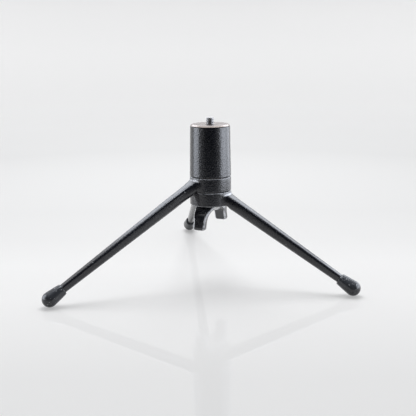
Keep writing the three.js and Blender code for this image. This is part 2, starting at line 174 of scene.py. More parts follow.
def casting_field(bottom, top, reach, top_r, nested):
    """The field of a hub drum with its leg along +X. A nested leg swings under another."""
    def field(points):
        x, y, z = points.T
        radius = np.hypot(x, y)
        leg = leg_field(points, reach)
        if nested:
            cone = (z - belly_cone(reach + PITCH / TAN, radius) + NEST_GAP) * COS
            leg = np.where(radius < NEST_END, round_common(leg, cone, NEST_EDGE), leg)
        room = np.minimum(bottom - z, SLOT_R - radius)
        leg = round_common(leg, room, RELIEF)
        drum = drum_field(points, bottom, top, HUB_R, top_r)
        whole = round_union(leg, drum, FILLET)
        whole = np.maximum(whole, room)
        if nested:
            whole = round_common(whole, z - top, ROOT_EDGE)
        return whole
    return field


def polygon_field(px, py, corners):
    """Signed distance in the plane to a closed outline of (x, y) corners."""
    best = np.full(px.shape, 1e9)
    inside = np.zeros(px.shape, bool)
    previous = corners[-1]
    for corner in corners:
        ex, ey = previous[0] - corner[0], previous[1] - corner[1]
        wx, wy = px - corner[0], py - corner[1]
        share = np.clip((wx * ex + wy * ey) / (ex * ex + ey * ey), 0, 1)
        best = np.minimum(best, (wx - ex * share) ** 2 + (wy - ey * share) ** 2)
        crosses = (corner[1] > py) != (previous[1] > py)
        at = corner[0] + (py - corner[1]) * ex / np.where(ey == 0, 1e-9, ey)
        inside ^= crosses & (px < at)
        previous = corner
    return np.sqrt(best) * np.where(inside, -1, 1)


def bezier(start, one, two, end, steps=10):
    """Points of a cubic curve, without its start."""
    out = []
    for i in range(1, steps + 1):
        t = i / steps
        s = 1 - t
        out.append(tuple(
            s ** 3 * a + 3 * s * s * t * b + 3 * s * t * t * c + t ** 3 * d
            for a, b, c, d in zip(start, one, two, end)
        ))
    return out


NUT_TOP = HUB_BOTTOM - 0.3
NUT_UNDERSIDE = 59.2
BOSS_R, BOSS_BOTTOM, NUT_BORE = 7.2, 58.9, 6.5
WING_INNER, WING_OUTER, WING_WAIST, WING_TIP = 18.6, 24.6, 22.4, 44.7
WING_HALF_WIDTH, WING_ROOT_HALF_WIDTH, WING_WIDENS_FROM = 5.1, 9.4, 51.0
WING_EDGE, WING_CORNER = 1.7, 2.8
BOSS_EDGE, BOSS_FILLET, BORE_EDGE = 0.3, 0.6, 0.15


def wing_outline():
    """The bar of the wing nut from the side, from the axis out, bent down at its end."""
    inner, outer, waist, tip = WING_INNER, WING_OUTER, WING_WAIST, WING_TIP
    under = NUT_UNDERSIDE
    points = [(-2, NUT_TOP), (9, NUT_TOP)]
    points += bezier(points[-1], (13.5, NUT_TOP), (waist - 0.85, under - 0.6), (waist, under - 3.5))
    points.append((outer, tip + 3.5))
    points += bezier(points[-1], (outer + 0.5, tip + 0.6), (outer - 1.4, tip), (outer - 2.8, tip))
    points += bezier(points[-1], (inner + 0.6, tip), (inner + 0.2, tip + 1), (inner + 0.1, tip + 3))
    points.append((inner - 1.2, under - 7.5))
    points += bezier(points[-1], (inner - 1.8, under - 3.7), (inner - 4.4, under), (8, under))
    points.append((-2, under))
    return points


def wing_fields(points):
    """Distance to the bar's side outline, and to its end-on outline, which widens upwards."""
    x, y, z = points.T
    side = polygon_field(np.abs(x), z, wing_outline())
    share = np.clip((z - WING_WIDENS_FROM) / (NUT_TOP + 1 - WING_WIDENS_FROM), 0, 1)
    half = WING_HALF_WIDTH + (WING_ROOT_HALF_WIDTH - WING_HALF_WIDTH) * share ** 2
    return side, round_common(np.abs(y) - half, WING_TIP - z, WING_CORNER)


def wing_nut_field(points):
    """Two wings and the boss, bored for the insert."""
    x, y, z = points.T
    bar = round_common(*wing_fields(points), WING_EDGE)
    radius = np.hypot(x, y)
    boss = round_common(radius - BOSS_R, np.maximum(BOSS_BOTTOM - z, z - NUT_TOP), BOSS_EDGE)
    body = np.maximum(round_union(bar, boss, BOSS_FILLET), z - NUT_TOP)
    return round_common(body, NUT_BORE - radius, BORE_EDGE)


def painted_wing_edge_highlight(points):
    """Painted highlight: 1 along the middle of the wings' rounded edges, 0 on their faces."""
    side, tongue = wing_fields(points)
    return np.clip(np.minimum(side, tongue) / WING_EDGE + 1, 0, 1)


def grid_points(counts):
    """Every whole-number point of a grid with that many points each way."""
    axes = np.meshgrid(*[np.arange(count) for count in counts], indexing="ij")
    return np.stack(axes, axis=-1).reshape(-1, 3)


def field_mesh(field, low, high, voxel):
    """Vertices and quads of the zero surface of a field, sampled only near that surface."""
    low, high = np.array(low, float), np.array(high, float)
    block = 8
    counts = np.ceil((high - low) / (voxel * block)).astype(int)
    step = voxel * block
    band = 3 * voxel
    blocks = grid_points(counts)
    centre_value = field(low + (blocks + 0.5) * step)
    near = np.abs(centre_value) < step * 1.1
    inside = centre_value < 0
    cells = np.full(counts * block, band, np.float32)
    for at in blocks[~near & inside]:
        a = at * block
        cells[a[0]:a[0] + block, a[1]:a[1] + block, a[2]:a[2] + block] = -band
    offsets = grid_points([block] * 3)
    chosen = blocks[near]
    for group in np.array_split(chosen, max(1, len(chosen) // 800)):
        index = (group[:, None, :] * block + offsets[None]).reshape(-1, 3)
        value = field(low + index * voxel)
        cells[index[:, 0], index[:, 1], index[:, 2]] = np.clip(value, -band, band)
    grid = openvdb.FloatGrid(background=band)
    grid.copyFromArray(cells)
    points, quads = grid.convertToQuads(isovalue=0.0)
    points = low + np.asarray(points, float) * voxel
    return settle(points, field), np.asarray(quads, int)[:, ::-1]


def settle(points, field, rounds=4):
    """Moves points onto the zero surface of a field, along its slope."""
    nudge, longest_move = 0.02, 0.25
    for _ in range(rounds):
        value = field(points)
        slope = np.stack([
            (field(points + offset) - field(points - offset)) / (2 * nudge)
            for offset in np.eye(3) * nudge
        ], axis=1)
        size = np.maximum((slope ** 2).sum(1), 0.25)
        move = -(value / size)[:, None] * slope
        length = np.linalg.norm(move, axis=1, keepdims=True)
        points = points + move * np.minimum(1, longest_move / np.maximum(length, 1e-9))
    return points


# ---------------------------------------------------------------- meshes


def make_mesh(name, points, faces):
    """A mesh object from points already in row-frame metres."""
    mesh = bpy.data.meshes.new(name)
    mesh.from_pydata([tuple(p) for p in points], [], [tuple(int(i) for i in f) for f in faces])
    mesh.validate()
    mesh.update()
    mesh.polygons.foreach_set("use_smooth", [True] * len(mesh.polygons))
    obj = bpy.data.objects.new(name, mesh)
    bpy.context.scene.collection.objects.link(obj)
    return obj


def turned_faces(outline, segments):
    """Points and faces of an (r, z) outline turned about the axis.

    An outline that starts off the axis is closed; points on the axis are shared.
    """
    points, rings = [], []
    for r, z in outline:
        if r < 1e-6:
            rings.append([len(points)] * segments)
            points.append((0.0, 0.0, z))
            continue
        rings.append(list(range(len(points), len(points) + segments)))
        for i in range(segments):
            a = 2 * math.pi * i / segments
            points.append((r * math.cos(a), r * math.sin(a), z))
    faces = []
    pairs = list(zip(rings, rings[1:]))
    if outline[0][0] > 1e-6:
        pairs.append((rings[-1], rings[0]))
    for one, two in pairs:
        for i in range(segments):
            j = (i + 1) % segments
            face = [one[i], one[j], two[j], two[i]]
            face = [v for k, v in enumerate(face) if v not in face[:k]]
            if len(face) > 2:
                faces.append(face)
    return np.array(points), faces


def eased(corners, radius, steps):
    """A closed outline with each corner rounded to about `radius`, or less where a side is short."""
    out = []
    corners = np.array(corners, float)
    for i, here in enumerate(corners):
        before, after = corners[i - 1], corners[(i + 1) % len(corners)]
        one, two = before - here, after - here
        reach = min(radius, 0.45 * np.linalg.norm(one), 0.45 * np.linalg.norm(two))
        a = here + one / np.linalg.norm(one) * reach
        b = here + two / np.linalg.norm(two) * reach
        for k in range(steps + 1):
            t = k / steps
            point = (1 - t) ** 2 * a + 2 * t * (1 - t) * here + t * t * b
            out.append((float(point[0]), float(point[1])))
    return out


def cut(obj, *cutters):
    """Takes closed bodies away from a piece."""
    for cutter in cutters:
        modifier = obj.modifiers.new("cut", "BOOLEAN")
        modifier.operation = "DIFFERENCE"
        modifier.solver = "MANIFOLD"
        modifier.object = cutter
        depsgraph = bpy.context.evaluated_depsgraph_get()
        mesh = bpy.data.meshes.new_from_object(obj.evaluated_get(depsgraph))
        obj.modifiers.clear()
        obj.data = mesh
        bpy.data.objects.remove(cutter)


def disc_cutter(radius, bottom, top):
    """A closed disc about the hub axis, to cut with."""
    points, faces = turned_faces([(0, bottom), (radius, bottom), (radius, top), (0, top)], 96)
    return make_mesh("cutter", place(points), faces)


def soften(obj, angle):
    """Smooth shading that keeps corners sharper than `angle`."""
    obj.data.polygons.foreach_set("use_smooth", [True] * len(obj.data.polygons))
    obj.data.set_sharp_from_angle(angle=math.radians(angle))
    return obj


# ---------------------------------------------------------------- materials


class Nodes:
    """Short hand for building a material's node tree."""

    def __init__(self, name):
        self.material = bpy.data.materials.new(name)
        self.material.use_nodes = True
        self.tree = self.material.node_tree
        self.tree.nodes.clear()
        self.output = self.add("ShaderNodeOutputMaterial")
        self.shader = self.add("ShaderNodeBsdfPrincipled")
        self.link(self.shader.outputs["BSDF"], self.output.inputs["Surface"])
        self.coordinates = self.add("ShaderNodeTexCoord").outputs["Object"]

    def add(self, kind, **settings):
        node = self.tree.nodes.new(kind)
        for key, value in settings.items():
            setattr(node, key, value)
        return node

    def link(self, output, socket):
        self.tree.links.new(output, socket)

    def set(self, **values):
        for key, value in values.items():
            self.shader.inputs[key.replace("_", " ")].default_value = value

    def noise(self, scale, detail=2.0, rough=0.5, vector=None):
        node = self.add("ShaderNodeTexNoise")
        node.inputs["Scale"].default_value = scale
        node.inputs["Detail"].default_value = detail
        node.inputs["Roughness"].default_value = rough
        self.link(vector or self.coordinates, node.inputs["Vector"])
        return node.outputs["Fac"]

    def cells(self, scale, feature="F1", smooth=None):
        node = self.add("ShaderNodeTexVoronoi", feature=feature)
        node.inputs["Scale"].default_value = scale
        if smooth is not None:
            node.inputs["Smoothness"].default_value = smooth
        self.link(self.coordinates, node.inputs["Vector"])
        return node.outputs["Distance"]

    def ramp(self, factor, *stops):
        """Grey or colour ramp through (position, value) stops."""
        node = self.add("ShaderNodeValToRGB")
        elements = node.color_ramp.elements
        while len(elements) < len(stops):
            elements.new(0.5)
        for element, (position, value) in zip(elements, stops):
            element.position = position
            element.color = (*value, 1) if isinstance(value, tuple) else (value, value, value, 1)
        self.link(factor, node.inputs["Fac"])
        return node.outputs["Color"]

    def math(self, operation, one, two):
        node = self.add("ShaderNodeMath", operation=operation)
        for socket, value in zip(node.inputs, (one, two)):
            if isinstance(value, (int, float)):
                socket.default_value = value
            else:
                self.link(value, socket)
        return node.outputs["Value"]

    def mix(self, factor, one, two):
        node = self.add("ShaderNodeMix", data_type="RGBA")
        self.link(factor, node.inputs["Factor"])
        for socket, value in ((node.inputs[6], one), (node.inputs[7], two)):
            if isinstance(value, tuple):
                socket.default_value = (*value, 1)
            else:
                self.link(value, socket)
        return node.outputs[2]

    def scaled(self, x, y, z):
        node = self.add("ShaderNodeMapping")
        node.inputs["Scale"].default_value = (x, y, z)
        self.link(self.coordinates, node.inputs["Vector"])
        return node.outputs["Vector"]

    def bump(self, height, distance, strength=1.0, below=None):
        node = self.add("ShaderNodeBump")
        node.inputs["Strength"].default_value = strength
        node.inputs["Distance"].default_value = distance
        self.link(height, node.inputs["Height"])
        if below is not None:
            self.link(below, node.inputs["Normal"])
        return node.outputs["Normal"]

    def about_hub(self, scale=(1, 1, 1)):
        """Coordinates about the hub axis."""
        moved = self.add("ShaderNodeMapping")
        moved.inputs["Location"].default_value = (-ORIGIN.x, -ORIGIN.y, 0)
        moved.inputs["Scale"].default_value = scale
        self.link(self.coordinates, moved.inputs["Vector"])
        return moved.outputs["Vector"]

    def by_radius(self, *stops):
        """A ramp outwards from the hub axis, through (radius, value) stops in millimetres."""
        widest = HUB_R * 1.25
        length = self.add("ShaderNodeVectorMath", operation="LENGTH")
        self.link(self.about_hub(scale=(1, 1, 0)), length.inputs[0])
        share = self.math("MULTIPLY", length.outputs["Value"], 1 / (widest * MM))
        return self.ramp(share, *[(radius / widest, value) for radius, value in stops])

    def by_height(self, *stops):
        """A ramp up the collars, through (height above the floor, value) stops in millimetres."""
        bottom, top = HUB_BOTTOM - 2, HIGH_SEAM + 2
        split = self.add("ShaderNodeSeparateXYZ")
        self.link(self.coordinates, split.inputs["Vector"])
        above = self.math("SUBTRACT", split.outputs["Z"], ORIGIN.z + bottom * MM)
        share = self.math("DIVIDE", above, (top - bottom) * MM)
        return self.ramp(share, *[((z - bottom) / (top - bottom), value) for z, value in stops])

    def edges(self, low, high):
        """1 on sharp outward edges, 0 elsewhere."""
        pointiness = self.add("ShaderNodeNewGeometry").outputs["Pointiness"]
        return self.ramp(pointiness, (low, 0.0), (high, 1.0))


def painted_seam_highlights(n):
    """1 on a painted highlight: thin rings just below each seam and round the hub's lower rim, on the
    collars' rounded edges.
    """
    stops = []
    for low, high in (
        (HUB_BOTTOM + 0.1, HUB_BOTTOM + 0.55),
        (LOW_SEAM - 0.95, LOW_SEAM - 0.15),
        (HIGH_SEAM - 0.95, HIGH_SEAM - 0.15),
    ):
        stops += [(low - 0.12, 0.0), (low, 1.0), (high, 1.0), (high + 0.12, 0.0)]
    wall = n.by_radius((HUB_R, 1.0), (HUB_R + 0.32, 0.0))
    broken = n.ramp(n.noise(260, 4.0, 0.6), (0.34, 0.25), (0.52, 1.0))
    return n.math("MULTIPLY", n.math("MULTIPLY", n.by_height(*stops), wall), broken)


def painted_root_highlights(n):
    """1 on a painted highlight on the crest of each front leg's root, just below the seams."""
    stops = []
    for seam in (LOW_SEAM, HIGH_SEAM):
        stops += [(seam - 3.6, 0.0), (seam - 3.0, 1.0), (seam - 1.0, 1.0), (seam - 0.6, 0.0)]
    reach = n.by_radius(
        (HUB_R + 0.11, 0.0), (HUB_R + 0.43, 1.0), (HUB_R + 1.91, 1.0), (HUB_R + 2.55, 0.0),
    )
    broken = n.ramp(n.noise(300, 3.0, 0.6), (0.34, 0.4), (0.5, 1.0))
    return n.math("MULTIPLY", n.math("MULTIPLY", n.by_height(*stops), reach), broken)


# Primer grey, which also paints the seam highlights, and a paler grey for painted highlights.
PRIMER_AND_SEAM_HIGHLIGHT, PAINTED_HIGHLIGHT_GREY = (0.27, 0.275, 0.285), (0.45, 0.455, 0.47)


def enamel(name, cell, depth, roughness, coat):
    """Glossy black enamel with a crinkled skin of `cell` bumps to the metre, `depth` metres deep.

    Grey primer shows on worn edges and in chips. The same grey is a painted highlight in thin rings by
    the seams, and a paler grey is a painted highlight on the front legs' root crests and the wing
    nut's edges.
    """
    n = Nodes(name)
    crinkle = n.cells(cell, "SMOOTH_F1", 0.25)
    ripple = n.noise(cell * 0.45, 3.0, 0.6)
    fine = n.noise(cell * 2.2, 3.0, 0.6)
    tint = n.ramp(n.noise(22, 3.0), (0.35, (0.0042, 0.0046, 0.0066)), (0.7, (0.008, 0.0088, 0.012)))
    ragged = n.ramp(n.noise(500, 4.0, 0.65), (0.46, 0.0), (0.54, 1.0))
    worn = n.math("MULTIPLY", n.edges(0.56, 0.62), ragged)
    speck = n.ramp(n.cells(330), (0.05, 1.0), (0.09, 0.0))
    rare = n.ramp(n.noise(75, 1.0), (0.66, 0.0), (0.69, 1.0))
    chips_and_seam_highlight = n.math("MAXIMUM", worn, n.math("MULTIPLY", speck, rare))
    # Thin rings by the seams and round the hub's lower rim are a painted highlight, drawn in the
    # primer grey.
    chips_and_seam_highlight = n.math("MAXIMUM", chips_and_seam_highlight, painted_seam_highlights(n))
    # The wing nut's rounded edges get a paler painted highlight, broken by noise.
    painted_edge_highlight = n.add("ShaderNodeAttribute", attribute_name="painted_edge_highlight").outputs["Fac"]
    patchy = n.ramp(n.noise(230, 4.0), (0.34, 0.3), (0.52, 1.0))
    nut_edge_highlight = n.math("MULTIPLY", n.ramp(painted_edge_highlight, (0.16, 0.0), (0.36, 1.0)), patchy)
    # Paler painted highlight on the front legs' root crests and along the wing nut's rounded edges.
    painted_highlight = n.math("MAXIMUM", painted_root_highlights(n), nut_edge_highlight)
    colour = n.mix(painted_highlight, n.mix(chips_and_seam_highlight, tint, PRIMER_AND_SEAM_HIGHLIGHT), PAINTED_HIGHLIGHT_GREY)
    n.link(colour, n.shader.inputs["Base Color"])
    shine = n.ramp(n.noise(cell * 0.9, 2.0, 0.6), (0.35, roughness - 0.08), (0.65, roughness + 0.1))
    n.link(shine, n.shader.inputs["Roughness"])
    calmer_legs = n.by_radius((HUB_R + 0.21, 1.0), (HUB_R + 2.55, 0.35))
    skin = n.bump(n.math("MULTIPLY", crinkle, calmer_legs), depth, 1.0)
    skin = n.bump(n.math("MULTIPLY", ripple, calmer_legs), depth * 0.5, 0.8, below=skin)
    skin = n.bump(fine, depth * 0.3, 0.9, below=skin)
    n.link(skin, n.shader.inputs["Normal"])
    n.set(Coat_Weight=coat, Coat_Roughness=0.14, Coat_IOR=1.5)
    return n.material


def rubber():
    """Dull black rubber, a little dusty, with pale scuffs and a painted highlight round its rims."""
    n = Nodes("foot_rubber")
    grain = n.noise(1800, 3.0, 0.6)
    blotch = n.noise(95, 4.0, 0.6)
    colour = n.ramp(blotch, (0.3, (0.014, 0.015, 0.017)), (0.72, (0.036, 0.038, 0.042)))
    scuffs = n.ramp(n.noise(420, 5.0, 0.7, n.scaled(1, 1, 2.2)), (0.62, 0.0), (0.66, 1.0))
    # Pale scuffs, and a painted highlight on sharp rims such as the mouth's lip.
    scuffs_and_rim_highlight = n.math("MAXIMUM", scuffs, n.edges(0.53, 0.6))
    n.link(n.mix(scuffs_and_rim_highlight, colour, (0.28, 0.28, 0.28)), n.shader.inputs["Base Color"])
    n.link(n.ramp(blotch, (0.3, 0.15), (0.75, 0.28)), n.shader.inputs["Roughness"])
    n.link(n.bump(grain, 0.00006, 0.7), n.shader.inputs["Normal"])
    return n.material


def machined(name, colour, other, roughness, rings=700, edge_tint=1.0, metal=1.0):
    """Turned metal between two colours: fine grooves round the hub axis, with a little haze."""
    n = Nodes(name)
    wave = n.add("ShaderNodeTexWave", wave_type="RINGS", rings_direction="Z")
    wave.inputs["Scale"].default_value = rings
    wave.inputs["Distortion"].default_value = 0.4
    wave.inputs["Detail"].default_value = 2.0
    n.link(n.about_hub(), wave.inputs["Vector"])
    haze = n.noise(160, 4.0, 0.6)
    n.link(n.ramp(haze, (0.3, colour), (0.75, other)), n.shader.inputs["Base Color"])
    n.link(n.ramp(haze, (0.3, roughness - 0.04), (0.8, roughness + 0.1)), n.shader.inputs["Roughness"])
    fine = n.noise(2600, 2.0, 0.5)
    skin = n.bump(wave.outputs["Fac"], 0.00001, 0.4)
    n.link(n.bump(fine, 0.00001, 0.5, below=skin), n.shader.inputs["Normal"])
    n.set(Metallic=metal, Specular_Tint=(edge_tint, edge_tint, edge_tint, 1))
    return n.material


def fibre():
    """Brown pressed fibre."""
    n = Nodes("disc_fibre")
    weave = n.noise(1500, 5.0, 0.7)
    colour = n.ramp(weave, (0.3, (0.11, 0.06, 0.035)), (0.7, (0.22, 0.13, 0.08)))
    n.link(colour, n.shader.inputs["Base Color"])
    n.link(n.bump(weave, 0.00008, 0.8), n.shader.inputs["Normal"])
    n.set(Roughness=0.85)
    return n.material


CAST = enamel("cast_enamel", cell=800, depth=0.00014, roughness=0.24, coat=0.35)
NUT = enamel("nut_enamel", cell=420, depth=0.00005, roughness=0.18, coat=1.0)
RUBBER = rubber()
SEAT = machined(
    "seat_metal", (0.52, 0.46, 0.43), (0.60, 0.54, 0.51), 0.22, rings=900, edge_tint=0.6, metal=0.7,
)
# The camera screw's steel is a darker, painted-shade copy of the bright steel, so the lamps'
# reflections in it stay below white.
SHADED_SCREW_STEEL = machined("screw_steel_painted_darker", (0.27, 0.27, 0.275), (0.35, 0.35, 0.355), 0.42)
STEEL = machined("bright_steel", (0.50, 0.50, 0.51), (0.62, 0.62, 0.63), 0.22)
BRASS = machined("bush_brass", (0.55, 0.38, 0.15), (0.66, 0.48, 0.22), 0.3)
FIBRE = fibre()


def finish_piece(obj, material, body, slot, *nodes):
    """Gives a new piece its material and its body, and hides the CAD nodes that it stands for."""
    obj.data.materials.clear()
    obj.data.materials.append(material)
    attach(obj, body)
    if nodes:
        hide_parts(*nodes)
    return obj


# ---------------------------------------------------------------- camera
# The photograph's viewpoint, about the hub axis and in a heading that is a little off the rear leg's.

HEADING = math.radians(-7.8)
YAW, PITCH_DOWN, ROLL = math.radians(-0.176), math.radians(12.634), math.radians(-0.52)
EYE = (-0.25, -652.24, 205.6)
SENSOR_WIDTH, LENS = 36.0, 69.6271

camera_data = bpy.data.cameras.new("camera")
camera_data.sensor_width = SENSOR_WIDTH
camera_data.lens = LENS
camera_data.clip_start, camera_data.clip_end = 0.01, 20
camera = bpy.data.objects.new("camera", camera_data)
bpy.context.scene.collection.objects.link(camera)
level = Vector((math.sin(YAW), math.cos(YAW), 0))
forward = level * math.cos(PITCH_DOWN) - Vector((0, 0, math.sin(PITCH_DOWN)))
right = Vector((math.cos(YAW), -math.sin(YAW), 0))
up = right.cross(forward)
rolled_right = math.cos(ROLL) * right + math.sin(ROLL) * up
rolled_up = -math.sin(ROLL) * right + math.cos(ROLL) * up
basis = Matrix((rolled_right, rolled_up, -forward)).transposed()
heading = Matrix.Rotation(HEADING, 3, "Z")
eye = heading @ Vector(EYE) * MM + ORIGIN
camera.matrix_world = Matrix.Translation(eye) @ (heading @ basis).to_4x4()
bpy.context.scene.camera = camera

# ---------------------------------------------------------------- castings

VOXEL, MARGIN = 0.45, 1.3


def hub_casting(name, azimuth, bottom, top, reach, top_r, nested, body, node, cutters):
    """A drum of the hub with its leg, bored out by the cutters."""
    field = casting_field(bottom, top, reach, top_r, nested)
    low = (-HUB_R - MARGIN, -HUB_R - MARGIN, FOOT_R / 2 - MARGIN)
    high = (reach + 2, HUB_R + MARGIN, top + MARGIN)
    points, quads = field_mesh(field, low, high, VOXEL)
    obj = make_mesh(name, place(turn(points, azimuth)), quads)
    cut(obj, *cutters)
    soften(obj, 40)
    return finish_piece(obj, CAST, body, "black_enamel", node)


ROD_BORE, BUSH_BORE, DISC_BORE, DISC_DEPTH = 4.3, 6.3, 13.3, 0.6
COLUMN_BORE, COLUMN_FLOOR = 12.8, 96.0
THRUST_DEPTH = 2.1
# The slot for the rod's cross pin: its half length, its depth below the floor, and its width share.
KEYWAY_R, KEYWAY_DEPTH, KEYWAY_WIDTH = 11.6, 3.0, 0.14

column_foot = HIGH_SEAM + HALF_GAP
keyway = disc_cutter(KEYWAY_R, COLUMN_FLOOR - KEYWAY_DEPTH, COLUMN_FLOOR + 1)
narrowed = Matrix.Diagonal((KEYWAY_WIDTH, 1, 1, 1))
keyway.data.transform(Matrix.Translation(ORIGIN) @ narrowed @ Matrix.Translation(-ORIGIN))
hub_casting(
    "column_enamel", REAR_AZIMUTH, column_foot, COLUMN_TOP, REAR_REACH, COLUMN_TOP_R - 0.05, False,
    "column", "column_casting",
    [
        disc_cutter(COLUMN_BORE, COLUMN_FLOOR, COLUMN_TOP + 1),
        keyway,
        disc_cutter(ROD_BORE, column_foot - 1, COLUMN_FLOOR + 1),
        disc_cutter(DISC_BORE, column_foot - 1, column_foot + DISC_DEPTH),
    ],
)
upper_low, upper_high = LOW_SEAM + HALF_GAP, HIGH_SEAM - HALF_GAP
hub_casting(
    "upper_leg_enamel", UPPER_AZIMUTH, upper_low, upper_high, UPPER_REACH, HUB_R, True,
    "upper_leg", "upper_leg_casting",
    [
        disc_cutter(BUSH_BORE, upper_low - 1, upper_high + 1),
        disc_cutter(DISC_BORE, upper_high - DISC_DEPTH, upper_high + 1),
        disc_cutter(DISC_BORE, upper_low - 1, upper_low + DISC_DEPTH),
    ],
)
lower_low, lower_high = HUB_BOTTOM + HALF_GAP, LOW_SEAM - HALF_GAP
hub_casting(
    "lower_leg_enamel", LOWER_AZIMUTH, lower_low, lower_high, LOWER_REACH, HUB_R, True,
    "lower_leg", "lower_leg_casting",
    [
        disc_cutter(BUSH_BORE, lower_low - 1, lower_high + 1),
        disc_cutter(DISC_BORE, lower_high - DISC_DEPTH, lower_high + 1),
        disc_cutter(DISC_BORE, lower_low - 1, lower_low + THRUST_DEPTH),
    ],
)

# ---------------------------------------------------------------- rubber feet


def leg_point(reach, azimuth, points):
    """Points of a leg's own frame (across, up, along) about the hub axis."""
    across, lift, along = np.asarray(points, float).T
    x = lift * SIN + along * COS
    z = lift * COS - along * SIN + FOOT_R + reach * TAN
    return turn(np.stack([x, across, z], axis=1), azimuth)


def foot_outline():
    """Bullet-shaped cap with a soft lip at its mouth, as (r, distance past the ball's centre)."""
    tangent = math.asin((FOOT_R - FOOT_MOUTH_R) / FOOT_LENGTH)
    shoulder_r, shoulder_z = FOOT_R * math.cos(tangent), -FOOT_R * math.sin(tangent)
    lip, bore_end, swell = 0.45, -0.4, 0.12
    outline = [(0.0, bore_end), (FOOT_BORE, bore_end), (FOOT_BORE, -FOOT_LENGTH + lip * 0.6)]
    outline += [
        (FOOT_BORE + lip * (1 - math.cos(a)), -FOOT_LENGTH + lip * 0.6 * (1 - math.sin(a)))
        for a in np.linspace(0.4, math.pi / 2, 4)
    ]
    outline += [
        (FOOT_MOUTH_R - lip * (1 - math.sin(a)), -FOOT_LENGTH + lip * (1 - math.cos(a)))
        for a in np.linspace(0, math.pi / 2, 6)
    ]
    for share in np.linspace(0.12, 1, 14)[:-1]:
        r = FOOT_MOUTH_R + (shoulder_r - FOOT_MOUTH_R) * share + swell * math.sin(share * math.pi)
        outline.append((r, -FOOT_LENGTH + (shoulder_z + FOOT_LENGTH) * share))
    outline += [
        (FOOT_R * math.cos(a), FOOT_R * math.sin(a)) for a in np.linspace(-tangent, math.pi / 2, 20)
    ]
    outline[-1] = (0.0, FOOT_R)
    return outline


def foot(name, reach, azimuth, body, node):
    """The rubber cap on the end of one leg."""
    points, faces = turned_faces(foot_outline(), 64)
    points[:, 2] += reach / COS
    points = leg_point(reach, azimuth, points)
    obj = soften(make_mesh(name, place(points), faces), 50)
    return finish_piece(obj, RUBBER, body, "foot_rubber", node)


foot("rear_foot_cap", REAR_REACH, REAR_AZIMUTH, "column", "rear_foot")
foot("upper_leg_foot_cap", UPPER_REACH, UPPER_AZIMUTH, "upper_leg", "upper_leg_foot")
foot("lower_leg_foot_cap", LOWER_REACH, LOWER_AZIMUTH, "lower_leg", "lower_leg_foot")

# ---------------------------------------------------------------- seat and camera screw

PLATE_BORE, PLATE_CHAMFER = 3.475, 0.425
PLATE_POCKET_R, PLATE_POCKET_TOP = 6.5, 125.55
PLATE_SKIRT_R, PLATE_BOTTOM = 12.5, 121
PLATE_RIM_R, PLATE_RIM, BEVEL_R = COLUMN_TOP_R - 0.1, COLUMN_TOP + 0.05, 14.7
plate_outline = eased([
    (PLATE_BORE, PLATE_POCKET_TOP), (PLATE_POCKET_R, PLATE_POCKET_TOP),
    (PLATE_POCKET_R, PLATE_BOTTOM), (PLATE_SKIRT_R, PLATE_BOTTOM),
    (PLATE_SKIRT_R, PLATE_RIM), (PLATE_RIM_R, PLATE_RIM),
    (BEVEL_R, PLATE_TOP), (PLATE_BORE + PLATE_CHAMFER, PLATE_TOP), (PLATE_BORE, PLATE_TOP - 0.4),
], radius=0.16, steps=3)
points, faces = turned_faces(plate_outline, 128)
seat = soften(make_mesh("seat_plate", place(points), faces), 30)
finish_piece(seat, SEAT, "column", "seat_aluminium", "top_plate")

SCREW_R, SCREW_PITCH, THREAD_DEPTH = 3.175, 1.27, 0.6
SCREW_BOTTOM, THREAD_FROM = 123.3, 125.8
FLANGE_R, FLANGE_TOP, FLANGE_CHAMFER, SCREW_NECK_R = 6.2, 125.5, 0.3, 2.7


def thread_radius(z, turned):
    """The threaded screw's radius at a height, where `turned` is the share of a full turn."""
    phase = ((z - THREAD_FROM) / SCREW_PITCH - turned) % 1.0
    # A flat crest and root with sloping flanks, then a chamfer at each end of the thread.
    tooth = min(1.0, max(0.0, 1.6 * (1 - abs(2 * phase - 1)) - 0.1))
    crest = SCREW_R - THREAD_DEPTH * (1 - tooth)
    crest = min(crest, SCREW_R - 0.4 + (SCREW_TOP - z) * 1.1)
    return min(crest, SCREW_R - 0.5 + (z - THREAD_FROM) * 1.2)


def screw_mesh():
    """A screw with one real helical thread, a flange below and a chamfered end."""
    segments, per_pitch = 64, 12
    profile = [
        (0.0, SCREW_BOTTOM), (FLANGE_R - FLANGE_CHAMFER, SCREW_BOTTOM),
        (FLANGE_R, SCREW_BOTTOM + FLANGE_CHAMFER), (FLANGE_R, FLANGE_TOP - FLANGE_CHAMFER),
        (FLANGE_R - FLANGE_CHAMFER, FLANGE_TOP), (SCREW_NECK_R, FLANGE_TOP),
    ]
    points, faces = turned_faces(profile, segments)
    points = [tuple(point) for point in points]
    rings = [list(range(len(points) - segments, len(points)))]
    rows = int((SCREW_TOP - THREAD_FROM) / SCREW_PITCH * per_pitch)
    for k in range(rows + 1):
        z = THREAD_FROM + (SCREW_TOP - THREAD_FROM) * k / rows
        rings.append(list(range(len(points), len(points) + segments)))
        for i in range(segments):
            angle = 2 * math.pi * i / segments
            r = thread_radius(z, i / segments)
            points.append((r * math.cos(angle), r * math.sin(angle), z))
    centre = len(points)
    points.append((0.0, 0.0, SCREW_TOP))
    rings.append([centre] * segments)
    for one, two in zip(rings, rings[1:]):
        for i in range(segments):
            j = (i + 1) % segments
            faces.append([one[i], one[j], two[j]] + ([two[i]] if two[i] != centre else []))
    return points, faces


points, faces = screw_mesh()
screw = soften(make_mesh("camera_screw_threaded", place(points), faces), 40)
finish_piece(screw, SHADED_SCREW_STEEL, "column", "bright_steel", "camera_screw")

# ---------------------------------------------------------------- wing nut

NUT_BOX, NUT_VOXEL = ((-26, -12, 43), (26, 12, 64.5)), 0.3
points, quads = field_mesh(wing_nut_field, *NUT_BOX, NUT_VOXEL)
nut = make_mesh("wing_nut_cast", place(turn(points, WING_AZIMUTH)), quads)
